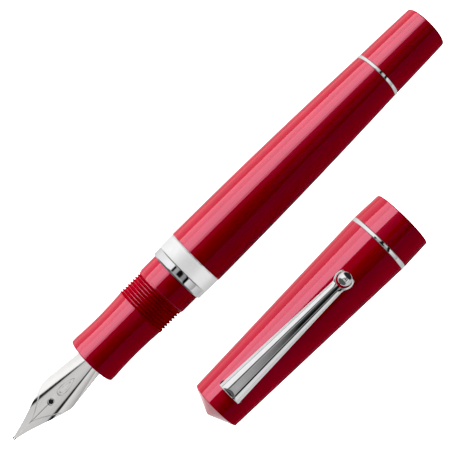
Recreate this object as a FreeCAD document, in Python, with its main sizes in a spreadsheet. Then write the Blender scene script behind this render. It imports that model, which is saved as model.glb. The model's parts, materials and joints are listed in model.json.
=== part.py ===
import FreeCAD, Part
import math
import os
import re
import Sketcher

# Fountain pen, uncapped, with its cap lying beside it.
# Millimetres. The pen's axis is X: the tail points to +X and the nib to -X. The origin is on that axis,
# at the front of the metal bead where the cap's mouth seats. +Z is up, and both parts lie on one table.
# The pen's own pieces are drawn straight in that frame. The cap's pieces are drawn with their apex at
# zero and their mouth towards +X, and their Placement carries them to where the cap lies.

Vector = FreeCAD.Vector
AXIS = "0"

SIZES = {
    # barrel and the metal trim at its mouth
    "bead_rear": 2.18, "bead_radius": 7.0, "bead_round": 0.85, "bead_edge": 0.22,
    "band_rear": 6.13, "band_front_radius": 7.06, "band_rear_radius": 7.14, "band_edge": 0.1,
    "trim_bore": 6.27, "lip_bore": 5.97, "lip_rear": 0.4,
    "spigot_radius": 6.25, "barrel_front_radius": 7.19, "barrel_rear": 62.07, "barrel_rear_radius": 5.9,
    "barrel_bow": 1535, "barrel_edge": 0.1, "barrel_bore": 4.6,
    "bush_seat": 5.95, "bush_outer": 5.93, "bush_bore": 5.4, "bush_rear": 9.0,
    "socket_bore": 5.0, "socket_front": 53.0,
    # tail: polished ring and the blind cap that unscrews over the filling knob
    "ring_rear": 62.84, "ring_outer": 5.95, "ring_bore": 4.92, "ring_edge": 0.1,
    "tail_front_radius": 5.88, "tail_edge_front": 77.3, "tail_edge_radius": 5.42, "tail_bow": 760,
    "tail_face": 77.68, "tail_face_radius": 5.0, "tail_round": 0.45, "tail_end": 78.02,
    "tail_spigot": 4.9, "tail_spigot_front": 54.0, "tail_bore": 4.05, "tail_bore_rear": 76.0,
    "tail_pitch": 1.0, "tail_thread_depth": 0.25, "tail_thread_front": 54.6, "tail_thread_length": 7.0,
    # grip section, its cap thread and the thread that holds it in the barrel
    "grip_front": -26.29, "grip_front_radius": 5.8, "grip_round": 0.25, "grip_edge": -26.04,
    "grip_edge_radius": 6.05, "lip_x": -24.97, "lip_radius": 6.11, "grip_hollow": 87.3,
    "grip_rear": -11.3, "grip_rear_radius": 6.17, "cap_thread_front": -10.97, "cap_thread_radius": 6.33,
    "collar_front": -4.88, "collar_radius": 6.5, "cap_thread_pitch": 0.76, "cap_thread_depth": 0.36,
    "cap_thread_length": 5.5, "cap_thread_start": -10.72,
    "housing_seat": 4.25, "housing_rear": -8.0, "grip_bore": 4.0, "relief_radius": 4.95, "relief_rear": 0.8,
    "joint_radius": 5.3, "joint_rear": 8.0, "joint_chamfer": 0.3, "joint_pitch": 0.75,
    "joint_depth": 0.35, "joint_start": 1.1, "joint_length": 6.2,
    # nib unit
    "housing_front": -25.6, "housing_outer": 4.2, "housing_bore": 3.35, "housing_floor": -13.5,
    "nipple_radius": 1.25, "nipple_rear": -3.0, "ink_bore": 0.6,
    "nib_rear": -14.0, "nib_root": -26.3, "nib_radius": 3.3, "nib_sheet": 0.35, "nib_point": -49.75,
    "nib_cone_end": -50.8, "nib_cone_end_radius": 12.0, "nib_cone_end_drop": 10.84,
    "nib_root_half": 3.2, "shoulder_x": -36.9, "shoulder_half": 4.36, "shoulder_round": 10.5,
    "tine_x": -43.9, "tine_half": 2.0, "point_half": 0.4, "nib_low": -0.8, "nib_high": 3.6,
    "breather_x": -38.5, "breather_radius": 0.58, "slit_half": 0.05,
    "tipping_x": -50.0, "tipping_z": 0.78, "tipping_radius": 0.44,
    "feed_gap": 0.04, "feed_rear": -13.6, "feed_half": 2.6, "feed_low": -2.85, "feed_high": 3.0,
    "feed_front": -45.6, "feed_front_low": 0.55, "feed_front_high": 1.5, "feed_step": -28.2,
    "fin_first": -29.2, "fin_gap": 0.35, "fin_top": -0.45, "fin_count": 11,
    "fin_row": 8.5, "feed_tip_half": 0.9,
    # converter
    "neck_front": -7.9, "neck_radius": 2.6, "neck_bore": 1.3, "neck_rear": -5.0, "chamber_front": -2.9,
    "tube_outer": 3.7, "tube_bore": 3.2, "tube_rear": 38.0,
    "ferrule_front": 33.0, "ferrule_outer": 3.95, "ferrule_seat": 3.72, "ferrule_bore": 2.0,
    "ferrule_rear": 52.0, "knob_front": 52.1, "knob_radius": 3.3, "knob_rear": 64.5, "knob_edge": 0.4,
    "stem_front": 40.0, "stem_radius": 1.93, "stem_bore": 1.3, "stem_floor": 63.0,
    "rod_radius": 1.22, "rod_rear": 62.0, "seal_front": 29.0, "seal_rear": 33.0, "seal_radius": 3.16,
    "seal_waist": 2.75, "seal_land": 1.0, "seal_bore": 1.24, "rod_head": 30.5,
    # cap, from its apex
    "cap_x": -16.5, "cap_y": -26.2, "cap_z": 0.53, "cap_roll": -3.5,
    "apex_x": 0.12, "apex_radius": 0.55, "cone_base": 2.55, "cone_base_radius": 5.98,
    "cone_edge": 2.88, "cone_edge_radius": 6.155, "cone_round": 0.32,
    "cap_ring_front": 52.5, "cap_ring_rear": 53.5, "cap_ring_outer": 7.75, "cap_ring_bore": 7.32,
    "cap_ring_seat": 7.3, "cap_ring_edge": 0.08, "cap_widest": 7.71, "cap_mouth": 60.57,
    "mouth_edge": 60.27, "mouth_edge_radius": 7.46, "mouth_face_radius": 7.16, "mouth_round": 0.3,
    "mouth_bore": 6.65, "mouth_bore_front": 55.67, "female_bore": 6.42, "female_front": 49.1,
    "female_depth": 0.2, "female_start": 49.5, "female_length": 5.6,
    "cap_bore": 6.35, "cap_bore_front": 34.0, "liner_seat": 5.3, "liner_seat_front": 5.6,
    "liner_outer": 5.27, "liner_bore": 4.7, "liner_front": 5.65, "liner_floor": 7.2, "liner_rear": 33.7,
    "slot_middle": 7.75, "slot_reach": 0.85, "slot_half": 3.05, "slot_low": 4.6, "slot_high": 7.5,
    # clip and its roller
    "clip_front": 7.0, "clip_front_low": 6.62, "clip_front_high": 7.5, "clip_half": 2.8,
    "clip_rear_low": 8.62, "clip_rear_high": 9.56, "neck_x": 38.9, "neck_half": 1.5,
    "yoke_x": 41.7, "yoke_outer": 2.15, "yoke_inner": 1.78, "yoke_front": 40.16,
    "yoke_rear": 43.1, "yoke_rear_half": 1.632,
    "tang_front": 7.2, "tang_rear": 8.3, "tang_low": 5.38,
    "roller_x": 42.0, "roller_z": 9.02, "roller_radius": 1.55,
    "axle_half": 2.08, "axle_radius": 0.34, "axle_hole": 0.35, "roller_bore": 0.37,
    "thread_land": 0.1, "thread_flank": 0.24, "thread_clearance": 0.12,
}

doc = FreeCAD.newDocument("fountain_pen")
sheet = doc.addObject("Spreadsheet::Sheet", "sizes")
for row, (alias, size) in enumerate(SIZES.items(), start=1):
    sheet.set(f"A{row}", alias)
    sheet.set(f"B{row}", str(size))
    sheet.setAlias(f"B{row}", alias)
doc.recompute()


def number(text):
    """The value of a sum of sheet names, such as "bead_rear - bead_edge"."""
    terms = re.findall(r"([+-]?)\s*([a-z_]+)", text)
    return sum(-sheet.get(word) if sign == "-" else sheet.get(word) for sign, word in terms)


def formula(text):
    """The same sum, written for setExpression."""
    return re.sub(r"[a-z_]+", r"sizes.\g<0>", text)


def bind(thing, prop, text):
    thing.setExpression(prop, formula(text))


def origin_plane(body, role):
    return next(feature for feature in body.Origin.OriginFeatures if feature.Role == role)


def new_body(label):
    body = doc.addObject("PartDesign::Body", label)
    body.Label = label
    return body


def new_sketch(body, name, role="XY_Plane"):
    sketch = body.newObject("Sketcher::SketchObject", name)
    sketch.AttachmentSupport = [(origin_plane(body, role), "")]
    sketch.MapMode = "FlatFace"
    return sketch


def bound_size(sketch, constraint, text):
    """Adds a dimension and binds it to the sheet."""
    sketch.setExpression(f"Constraints[{sketch.addConstraint(constraint)}]", formula(text))


def arc_edge(start, end, radius, side):
    """An arc from start to end that bulges to the left (side 1) or to the right (side -1)."""
    chord = end - start
    middle = (start + end) * 0.5
    left = Vector(-chord.y, chord.x, 0).normalize()
    centre = middle - left * side * math.sqrt(radius ** 2 - chord.Length ** 2 / 4)
    first, last = (end, start) if side > 0 else (start, end)
    angles = [math.atan2(point.y - centre.y, point.x - centre.x) for point in (first, last)]
    return Part.ArcOfCircle(Part.Circle(centre, Vector(0, 0, 1), radius), *angles)


def arc_radius(corner, start, end):
    """The radius named by the corner, or for a dome, whose centre is on the axis, the one that fits."""
    if corner[2] == AXIS:
        return (end - start).Length ** 2 / (2 * abs(end.x - start.x))
    return number(corner[2])


def outline(sketch, corners):
    """A closed outline. Each corner is (across, up) in sheet names, and one that starts an arc adds
    the arc's radius, or AXIS for a dome, and the side it bulges to. An arc that bulges left runs from
    its end to its start in a sketch."""
    places = [Vector(number(corner[0]), number(corner[1]), 0) for corner in corners]
    base = sketch.GeometryCount
    ends = []
    for index, corner in enumerate(corners):
        start = places[index]
        end = places[(index + 1) % len(places)]
        if len(corner) > 2:
            edge = arc_edge(start, end, arc_radius(corner, start, end), corner[3])
        else:
            edge = Part.LineSegment(start, end)
        sketch.addGeometry(edge, False)
        ends.append((2, 1) if len(corner) > 2 and corner[3] > 0 else (1, 2))
    for index, corner in enumerate(corners):
        edge = base + index
        following = (index + 1) % len(corners)
        sketch.addConstraint(Sketcher.Constraint(
            "Coincident", edge, ends[index][1], base + following, ends[following][0]))
        for text, kind, line in ((corner[0], "DistanceX", -2), (corner[1], "DistanceY", -1)):
            if text == AXIS:
                sketch.addConstraint(Sketcher.Constraint("PointOnObject", edge, ends[index][0], line))
            else:
                bound_size(sketch, Sketcher.Constraint(
                    kind, -1, 1, edge, ends[index][0], number(text)), text)
        if len(corner) > 2 and corner[2] == AXIS:
            sketch.addConstraint(Sketcher.Constraint("PointOnObject", edge, 3, -1))
        elif len(corner) > 2:
            bound_size(sketch, Sketcher.Constraint("Radius", edge, number(corner[2])), corner[2])


def rectangle(left, right, low, high):
    return [(left, low), (right, low), (right, high), (left, high)]


def turned(label, corners):
    """A piece turned on a lathe about X."""
    body = new_body(label)
    sketch = new_sketch(body, label + "_profile")
    outline(sketch, corners)
    revolution = body.newObject("PartDesign::Revolution", label + "_turned")
    revolution.Profile = sketch
    revolution.ReferenceAxis = (sketch, ["H_Axis"])
    revolution.Angle = 360
    doc.recompute()
    return body


def cut_thread(body, name, start, length, crest, depth, pitch, outside=True):
    """Cuts one right-hand helical groove. Its profile is a trapezium that starts just off the crest."""
    sign = ("-", "+") if outside else ("+", "-")
    root = f"{crest} {sign[0]} {depth}"
    clear = f"{crest} {sign[1]} thread_clearance"
    groove = new_sketch(body, name + "_profile")
    outline(groove, [
        (f"{start} - thread_flank - thread_land", clear), (f"{start} - thread_land", root),
        (f"{start} + thread_land", root), (f"{start} + thread_flank + thread_land", clear)])
    before = body.Tip.Shape.Volume
    helix = body.newObject("PartDesign::SubtractiveHelix", name)
    helix.Profile = groove
    helix.ReferenceAxis = (groove, ["H_Axis"])
    helix.Mode = 0
    bind(helix, "Pitch", pitch)
    bind(helix, "Height", length)
    doc.recompute()
    require_cut(body, before)


def require_cut(body, before):
    if body.Tip.Shape.Volume >= before:
        raise RuntimeError(f"{body.Label}: {body.Tip.Name} removed nothing")


def pad(body, name, role, corners, length):
    """Pads an outline to both sides of its plane."""
    sketch = new_sketch(body, name + "_outline", role)
    outline(sketch, corners)
    feature = body.newObject("PartDesign::Pad", name)
    feature.Profile = sketch
    feature.Midplane = True
    bind(feature, "Length", length)
    doc.recompute()
    return feature


def pocket_through(body, name, sketch):
    """Cuts a sketch through the whole body, both ways."""
    before = body.Tip.Shape.Volume
    feature = body.newObject("PartDesign::Pocket", name)
    feature.Profile = sketch
    feature.Type = 1
    feature.Midplane = True
    doc.recompute()
    require_cut(body, before)
    return feature


def circle(sketch, across, up, radius):
    """A full circle with its centre and radius bound to the sheet."""
    centre = Vector(number(across), 0 if up == AXIS else number(up), 0)
    index = sketch.addGeometry(Part.Circle(centre, Vector(0, 0, 1), number(radius)), False)
    bound_size(sketch, Sketcher.Constraint("DistanceX", -1, 1, index, 3, centre.x), across)
    if up == AXIS:
        sketch.addConstraint(Sketcher.Constraint("PointOnObject", index, 3, -1))
    else:
        bound_size(sketch, Sketcher.Constraint("DistanceY", -1, 1, index, 3, centre.y), up)
    bound_size(sketch, Sketcher.Constraint("Radius", index, number(radius)), radius)


# Barrel: resin shell with a spigot under the metal trim, a brass bush at the mouth and a tail socket.
def make_barrel():
    barrel = turned("barrel", [
        ("lip_rear", "bush_seat"), ("lip_rear", "spigot_radius"), ("band_rear", "spigot_radius"),
        ("band_rear", "barrel_front_radius - barrel_edge"),
        ("band_rear + barrel_edge", "barrel_front_radius", "barrel_bow", 1),
        ("barrel_rear - barrel_edge", "barrel_rear_radius"),
        ("barrel_rear", "barrel_rear_radius - barrel_edge"),
        ("barrel_rear", "socket_bore"), ("socket_front", "socket_bore"), ("socket_front", "barrel_bore"),
        ("bush_rear", "barrel_bore"), ("bush_rear", "bush_seat")])
    band = turned("centre_band", [
        ("bead_rear", "trim_bore"), ("bead_rear", "band_front_radius - band_edge"),
        ("bead_rear + band_edge", "band_front_radius"), ("band_rear - band_edge", "band_rear_radius"),
        ("band_rear", "band_rear_radius - band_edge"), ("band_rear", "trim_bore")])
    bead = turned("band_bead", [
        (AXIS, "lip_bore"), (AXIS, "bead_radius - bead_round", "bead_round", 1),
        ("bead_round", "bead_radius"), ("bead_rear - bead_edge", "bead_radius", "bead_edge", 1),
        ("bead_rear", "bead_radius - bead_edge"), ("bead_rear", "trim_bore"),
        ("lip_rear", "trim_bore"), ("lip_rear", "lip_bore")])
    bush = turned("barrel_bush", [
        ("lip_rear", "bush_bore"), ("lip_rear", "bush_outer"),
        ("bush_rear", "bush_outer"), ("bush_rear", "bush_bore")])
    return [barrel, band, bead, bush]


# Tail: a polished ring, and a blind cap whose hollow spigot screws into the barrel's socket.
def make_tail():
    ring = turned("tail_ring", [
        ("barrel_rear", "ring_bore"), ("barrel_rear", "ring_outer - ring_edge"),
        ("barrel_rear + ring_edge", "ring_outer"), ("ring_rear - ring_edge", "ring_outer"),
        ("ring_rear", "ring_outer - ring_edge"), ("ring_rear", "ring_bore")])
    cap = turned("tail_cap", [
        ("tail_spigot_front", "tail_bore"), ("tail_spigot_front", "tail_spigot - tail_thread_depth"),
        ("tail_spigot_front + tail_thread_depth", "tail_spigot"), ("ring_rear", "tail_spigot"),
        ("ring_rear", "tail_front_radius", "tail_bow", 1),
        ("tail_edge_front", "tail_edge_radius", "tail_round", 1),
        ("tail_face", "tail_face_radius", AXIS, 1),
        ("tail_end", AXIS), ("tail_bore_rear", AXIS), ("tail_bore_rear", "tail_bore")])
    cut_thread(cap, "tail_thread", "tail_thread_front", "tail_thread_length",
               "tail_spigot", "tail_thread_depth", "tail_pitch")
    return [ring, cap]


# Grip section: hollow grip, cap thread, plain collar, and the thread that enters the barrel's bush.
def make_section():
    section = turned("section", [
        ("grip_front", "housing_seat"), ("grip_front", "grip_front_radius", "grip_round", 1),
        ("grip_edge", "grip_edge_radius"), ("lip_x", "lip_radius", "grip_hollow", -1),
        ("grip_rear", "grip_rear_radius"), ("cap_thread_front", "cap_thread_radius"),
        ("collar_front", "cap_thread_radius"), ("collar_front", "collar_radius"),
        (AXIS, "collar_radius"), (AXIS, "relief_radius"), ("relief_rear", "relief_radius"),
        ("relief_rear", "joint_radius"), ("joint_rear - joint_chamfer", "joint_radius"),
        ("joint_rear", "joint_radius - joint_chamfer"), ("joint_rear", "grip_bore"),
        ("housing_rear", "grip_bore"), ("housing_rear", "housing_seat")])
    cut_thread(section, "cap_thread", "cap_thread_start", "cap_thread_length",
               "cap_thread_radius", "cap_thread_depth", "cap_thread_pitch")
    cut_thread(section, "barrel_thread", "joint_start", "joint_length",
               "joint_radius", "joint_depth", "joint_pitch")
    housing = turned("nib_housing", [
        ("housing_front", "housing_bore"), ("housing_front", "housing_outer"),
        ("housing_rear", "housing_outer"), ("housing_rear", "nipple_radius"),
        ("nipple_rear", "nipple_radius"), ("nipple_rear", "ink_bore"),
        ("housing_floor", "ink_bore"), ("housing_floor", "housing_bore")])
    return [section, housing]


def flared_core(name, inset):
    """The curved form that nib and feed share: a cylinder at the root, then a cone that widens and
    drops towards the point. Its radius is the nib's outer radius less the inset."""
    body = new_body(name)
    rear = new_sketch(body, name + "_rear", "YZ_Plane")
    root = new_sketch(body, name + "_root", "YZ_Plane")
    front = new_sketch(body, name + "_front", "YZ_Plane")
    for sketch, place in ((rear, "feed_rear"), (root, "nib_root"), (front, "nib_cone_end")):
        bind(sketch, "AttachmentOffset.Base.z", place)
    for sketch in (rear, root):
        ring = Part.Circle(Vector(0, 0, 0), Vector(0, 0, 1), number("nib_radius"))
        index = sketch.addGeometry(ring, False)
        sketch.addConstraint(Sketcher.Constraint("Coincident", index, 3, -1, 1))
        bound_size(sketch, Sketcher.Constraint("Radius", index, number(f"nib_radius{inset}")),
                   f"nib_radius{inset}")
    low = Vector(0, -number("nib_cone_end_drop"), 0)
    index = front.addGeometry(Part.Circle(low, Vector(0, 0, 1), number("nib_cone_end_radius")), False)
    front.addConstraint(Sketcher.Constraint("PointOnObject", index, 3, -2))
    bound_size(front, Sketcher.Constraint("DistanceY", index, 3, -1, 1, -low.y), "nib_cone_end_drop")
    bound_size(front, Sketcher.Constraint("Radius", index, number(f"nib_cone_end_radius{inset}")),
               f"nib_cone_end_radius{inset}")
    loft = body.newObject("PartDesign::AdditiveLoft", name + "_loft")
    loft.Profile = rear
    loft.Sections = [root, front]
    loft.Ruled = True
    doc.recompute()
    return body


def joined(kind, label, base, tool):
    """A named boolean of two objects."""
    result = doc.addObject(kind, label)
    result.Label = label
    result.Base = base
    result.Tool = tool
    doc.recompute()
    return result


# Nib: a thin flared shell, trimmed to its outline, with a breather hole and a slit to the point.
def make_nib():
    shell = joined("Part::Cut", "nib_shell", flared_core("nib_outer", ""),
                   flared_core("nib_inner", " - nib_sheet"))
    plan = new_body("nib_plan")
    sketch = new_sketch(plan, "nib_plan_outline")
    bind(sketch, "AttachmentOffset.Base.z", "nib_low")
    outline(sketch, [
        ("nib_rear", "nib_root_half"), ("nib_root", "nib_root_half"),
        ("shoulder_x", "shoulder_half", "shoulder_round", 1),
        ("tine_x", "tine_half"), ("nib_point", "point_half"),
        ("nib_point", "-point_half"), ("tine_x", "-tine_half", "shoulder_round", 1),
        ("shoulder_x", "-shoulder_half"), ("nib_root", "-nib_root_half"),
        ("nib_rear", "-nib_root_half")])
    blank = plan.newObject("PartDesign::Pad", "nib_plan_pad")
    blank.Profile = sketch
    bind(blank, "Length", "nib_high - nib_low")
    doc.recompute()
    hole = new_sketch(plan, "breather_outline")
    circle(hole, "breather_x", AXIS, "breather_radius")
    pocket_through(plan, "breather_hole", hole)
    slit = new_sketch(plan, "slit_outline")
    outline(slit, rectangle("nib_cone_end", "breather_x", "-slit_half", "slit_half"))
    pocket_through(plan, "slit", slit)
    nib = joined("Part::Common", "nib", shell, plan)
    return [nib, make_tipping(nib)]


# Tipping: the hard pellet under the point, split by the slit and shaped to the sheet above it.
def make_tipping(nib):
    pellet = doc.addObject("Part::Sphere", "tipping_pellet")
    bind(pellet, "Radius", "tipping_radius")
    bind(pellet, "Placement.Base.x", "tipping_x")
    bind(pellet, "Placement.Base.z", "tipping_z")
    blade = doc.addObject("Part::Box", "tipping_blade")
    bind(blade, "Length", "tine_x - nib_cone_end")
    bind(blade, "Width", "slit_half + slit_half")
    bind(blade, "Height", "nib_high - nib_low")
    bind(blade, "Placement.Base.x", "nib_cone_end")
    bind(blade, "Placement.Base.y", "-slit_half")
    bind(blade, "Placement.Base.z", "nib_low")
    halves = joined("Part::Cut", "tipping_halves", pellet, blade)
    return joined("Part::Cut", "nib_tipping", halves, nib)


# Feed: it fills the nib's hollow, with cooling fins cut across its underside.
def make_feed():
    block = new_body("feed_block")
    pad(block, "feed_side", "XZ_Plane", [
        ("feed_rear", "feed_low"), ("feed_rear", "feed_high"), ("nib_root", "feed_high"),
        ("feed_front", "feed_front_high"), ("feed_front", "feed_front_low"),
        ("feed_step", "feed_low")], "feed_half + feed_half")
    fin = new_sketch(block, "fin_outline", "XZ_Plane")
    outline(fin, rectangle("fin_first - fin_gap", "fin_first", "feed_low + feed_low", "fin_top"))
    gap = pocket_through(block, "fin_gap_cut", fin)
    fins = block.newObject("PartDesign::LinearPattern", "fins")
    fins.Originals = [gap]
    fins.Direction = (fin, ["H_Axis"])
    fins.Reversed = True
    bind(fins, "Length", "fin_row")
    bind(fins, "Occurrences", "fin_count")
    block.Tip = fins
    doc.recompute()
    taper = new_sketch(block, "feed_taper_outline")
    outline(taper, [("feed_step", "feed_half"), ("feed_front", "feed_tip_half"),
                    ("nib_cone_end", "feed_tip_half"), ("nib_cone_end", "feed_half + feed_half"),
                    ("feed_step", "feed_half + feed_half")])
    pocket_through(block, "feed_taper", taper)
    mirror = block.newObject("PartDesign::Mirrored", "feed_taper_pair")
    mirror.Originals = [block.getObject("feed_taper")]
    mirror.MirrorPlane = (origin_plane(block, "XZ_Plane"), [""])
    block.Tip = mirror
    doc.recompute()
    return [joined("Part::Common", "feed", flared_core("feed_core", " - nib_sheet - feed_gap"), block)]


# Converter: clear ink tube, metal ferrule, turning knob, and the piston that the knob screws along.
def make_converter():
    tube = turned("converter_tube", [
        ("neck_front", "neck_bore"), ("neck_front", "neck_radius"), ("neck_rear", "neck_radius"),
        ("neck_rear", "tube_outer"), ("tube_rear", "tube_outer"), ("tube_rear", "tube_bore"),
        ("chamber_front", "tube_bore"), ("chamber_front", "neck_bore")])
    ferrule = turned("converter_ferrule", [
        ("ferrule_front", "ferrule_seat"), ("ferrule_front", "ferrule_outer"),
        ("ferrule_rear", "ferrule_outer"), ("ferrule_rear", "ferrule_bore"),
        ("tube_rear", "ferrule_bore"), ("tube_rear", "ferrule_seat")])
    knob = turned("converter_knob", [
        ("stem_front", "stem_bore"), ("stem_front", "stem_radius"), ("knob_front", "stem_radius"),
        ("knob_front", "knob_radius"), ("knob_rear - knob_edge", "knob_radius"),
        ("knob_rear", "knob_radius - knob_edge"), ("knob_rear", AXIS), ("stem_floor", AXIS),
        ("stem_floor", "stem_bore")])
    rod = turned("piston_rod", [
        ("rod_head", AXIS), ("rod_head", "rod_radius"), ("rod_rear", "rod_radius"), ("rod_rear", AXIS)])
    seal = turned("piston_seal", [
        ("seal_front", AXIS), ("seal_front", "seal_radius"), ("seal_front + seal_land", "seal_radius"),
        ("seal_front + seal_land", "seal_waist"), ("seal_rear - seal_land", "seal_waist"),
        ("seal_rear - seal_land", "seal_radius"), ("seal_rear", "seal_radius"),
        ("seal_rear", "seal_bore"), ("rod_head", "seal_bore"), ("rod_head", AXIS)])
    return [tube, ferrule, knob, rod, seal]


# Cap: tapered shell with a conical crown, a polished ring near the mouth and an inner cap that seals
# the nib. The slot near the crown takes the clip's tang.
def make_cap():
    shell = turned("cap_tube", [
        (AXIS, AXIS, AXIS, 1), ("apex_x", "apex_radius"),
        ("cone_base", "cone_base_radius", "cone_round", 1), ("cone_edge", "cone_edge_radius"),
        ("cap_ring_front", "cap_widest"), ("cap_ring_front", "cap_ring_seat"),
        ("cap_ring_rear", "cap_ring_seat"), ("cap_ring_rear", "cap_widest"),
        ("mouth_edge", "mouth_edge_radius", "mouth_round", 1), ("cap_mouth", "mouth_face_radius"),
        ("cap_mouth", "mouth_bore"), ("mouth_bore_front", "mouth_bore"),
        ("mouth_bore_front", "female_bore"), ("female_front", "female_bore"),
        ("female_front", "cap_bore"), ("cap_bore_front", "cap_bore"),
        ("cap_bore_front", "liner_seat"), ("liner_seat_front", "liner_seat"),
        ("liner_seat_front", AXIS)])
    cut_thread(shell, "female_thread", "female_start", "female_length",
               "female_bore", "female_depth", "cap_thread_pitch", outside=False)
    slot = new_sketch(shell, "clip_slot_outline")
    bind(slot, "AttachmentOffset.Base.z", "slot_low")
    outline(slot, rectangle("slot_middle - slot_reach", "slot_middle + slot_reach",
                            "-slot_half", "slot_half"))
    before = shell.Tip.Shape.Volume
    cut = shell.newObject("PartDesign::Pocket", "clip_slot")
    cut.Profile = slot
    cut.Reversed = True
    bind(cut, "Length", "slot_high - slot_low")
    doc.recompute()
    require_cut(shell, before)
    ring = turned("cap_ring", [
        ("cap_ring_front", "cap_ring_bore"), ("cap_ring_front", "cap_ring_outer - cap_ring_edge"),
        ("cap_ring_front + cap_ring_edge", "cap_ring_outer"),
        ("cap_ring_rear - cap_ring_edge", "cap_ring_outer"),
        ("cap_ring_rear", "cap_ring_outer - cap_ring_edge"), ("cap_ring_rear", "cap_ring_bore")])
    liner = turned("inner_cap", [
        ("liner_front", AXIS), ("liner_front", "liner_outer"), ("liner_rear", "liner_outer"),
        ("liner_rear", "liner_bore"), ("liner_floor", "liner_bore"), ("liner_floor", AXIS)])
    return [shell, ring, liner]


# Clip: a tapered bar with a tang into the slot and a round yoke that holds the roller on its axle.
def make_clip():
    clip = new_body("clip")
    pad(clip, "clip_side", "XZ_Plane", [
        ("clip_front", "clip_front_low"), ("clip_front", "clip_front_high"),
        ("yoke_rear", "clip_rear_high"), ("yoke_rear", "clip_rear_low"),
        ("tang_rear", "clip_front_low"), ("tang_rear", "tang_low"), ("tang_front", "tang_low"),
        ("tang_front", "clip_front_low")], "clip_half + clip_half")
    for name, sign, side in (("left", "", -1), ("right", "-", 1)):
        flank = new_sketch(clip, name + "_flank_outline")
        outline(flank, [
            ("clip_front - clip_half", sign + "clip_half"), ("clip_front", sign + "clip_half"),
            ("neck_x", sign + "neck_half"), ("yoke_front", sign + "neck_half", "yoke_outer", -side),
            ("yoke_rear", sign + "yoke_rear_half"), ("yoke_rear + clip_half", sign + "yoke_rear_half"),
            ("yoke_rear + clip_half", f"{sign}clip_half {sign or '+'} clip_half"),
            ("clip_front - clip_half", f"{sign}clip_half {sign or '+'} clip_half")])
        pocket_through(clip, name + "_flank", flank)
    opening = new_sketch(clip, "roller_opening_outline")
    circle(opening, "yoke_x", AXIS, "yoke_inner")
    pocket_through(clip, "roller_opening", opening)
    hole = new_sketch(clip, "axle_hole_outline", "XZ_Plane")
    circle(hole, "roller_x", "roller_z", "axle_hole")
    pocket_through(clip, "axle_hole", hole)
    return [clip]


def cross_pin(name, radius, half_length):
    """A cylinder along Y through the roller's centre."""
    pin = doc.addObject("Part::Cylinder", name)
    bind(pin, "Radius", radius)
    bind(pin, "Height", f"{half_length} + {half_length}")
    pin.Placement.Rotation = FreeCAD.Rotation(Vector(1, 0, 0), -90)
    bind(pin, "Placement.Base.x", "roller_x")
    bind(pin, "Placement.Base.y", f"-{half_length}")
    bind(pin, "Placement.Base.z", "roller_z")
    return pin


def make_roller():
    ball = doc.addObject("Part::Sphere", "roller_ball")
    bind(ball, "Radius", "roller_radius")
    bind(ball, "Placement.Base.x", "roller_x")
    bind(ball, "Placement.Base.z", "roller_z")
    roller = joined("Part::Cut", "clip_roller", ball,
                    cross_pin("roller_drill", "roller_bore", "yoke_outer"))
    axle = doc.addObject("Part::Compound", "roller_axle")
    axle.Links = [cross_pin("axle_pin", "axle_radius", "axle_half")]
    return [roller, axle]


def lay_cap_down(pieces):
    """Carries the cap's pieces to where the cap lies, rolled a little towards the pen."""
    for piece in pieces:
        piece.Placement.Rotation = FreeCAD.Rotation(Vector(1, 0, 0), number("cap_roll"))
        piece.setExpression("Placement.Rotation.Angle", "sizes.cap_roll * 1 deg")
        bind(piece, "Placement.Base.x", "cap_x")
        bind(piece, "Placement.Base.y", "cap_y")
        bind(piece, "Placement.Base.z", "cap_z")
    return pieces


def check_document():
    doc.recompute()
    for thing in doc.Objects:
        if "Invalid" in thing.State or "Error" in thing.State:
            raise RuntimeError(f"{thing.Label}: {thing.State}")


def write_parts(pieces):
    os.makedirs("parts", exist_ok=True)
    for piece in pieces:
        if piece.Shape.isNull() or not piece.Shape.isValid():
            raise RuntimeError(f"{piece.Label}: no valid shape")
    for piece in pieces:
        piece.Shape.exportStep(f"parts/{piece.Label}.step")
        print(f"{piece.Label:20} {piece.Shape.Volume:9.2f} mm3, solids {len(piece.Shape.Solids)}")


pen = make_barrel() + make_tail() + make_section() + make_nib() + make_feed() + make_converter()
cap = lay_cap_down(make_cap() + make_clip() + make_roller())
check_document()
write_parts(pen + cap)
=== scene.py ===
import json
import math

import bmesh
import bpy
import numpy as np
from mathutils import Matrix, Vector


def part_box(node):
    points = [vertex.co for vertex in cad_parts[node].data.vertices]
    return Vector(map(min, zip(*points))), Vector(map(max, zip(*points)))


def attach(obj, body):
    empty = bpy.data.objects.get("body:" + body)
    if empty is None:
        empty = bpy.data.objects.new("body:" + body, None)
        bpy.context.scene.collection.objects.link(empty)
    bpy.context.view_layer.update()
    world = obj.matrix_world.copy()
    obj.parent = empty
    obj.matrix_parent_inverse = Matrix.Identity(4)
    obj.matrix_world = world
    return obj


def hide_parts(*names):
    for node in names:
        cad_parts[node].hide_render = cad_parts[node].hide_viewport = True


# Looks of a red resin fountain pen and the cap that lies beside it.
# Profiles are in millimetres, in the CAD frame: the pen's axis is X, its nib points to -X, +Z is up.
# The cap and its clip are drawn in the cap's own frame, from the apex of its crown, and CAP carries them.

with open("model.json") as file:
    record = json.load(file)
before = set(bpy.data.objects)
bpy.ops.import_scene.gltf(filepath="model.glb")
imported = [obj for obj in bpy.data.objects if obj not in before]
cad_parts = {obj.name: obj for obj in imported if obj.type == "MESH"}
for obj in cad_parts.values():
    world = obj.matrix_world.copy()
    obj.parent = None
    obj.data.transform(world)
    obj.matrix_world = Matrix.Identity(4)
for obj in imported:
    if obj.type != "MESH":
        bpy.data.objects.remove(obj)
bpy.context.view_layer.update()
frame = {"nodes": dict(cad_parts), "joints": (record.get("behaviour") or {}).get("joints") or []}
MM = 0.001
SHARP = 35  # degrees between two faces, above which their edge stays sharp


def ends(node):
    """Lowest and highest corner of a CAD node, in millimetres."""
    low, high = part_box(node)
    return low / MM, high / MM


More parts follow.
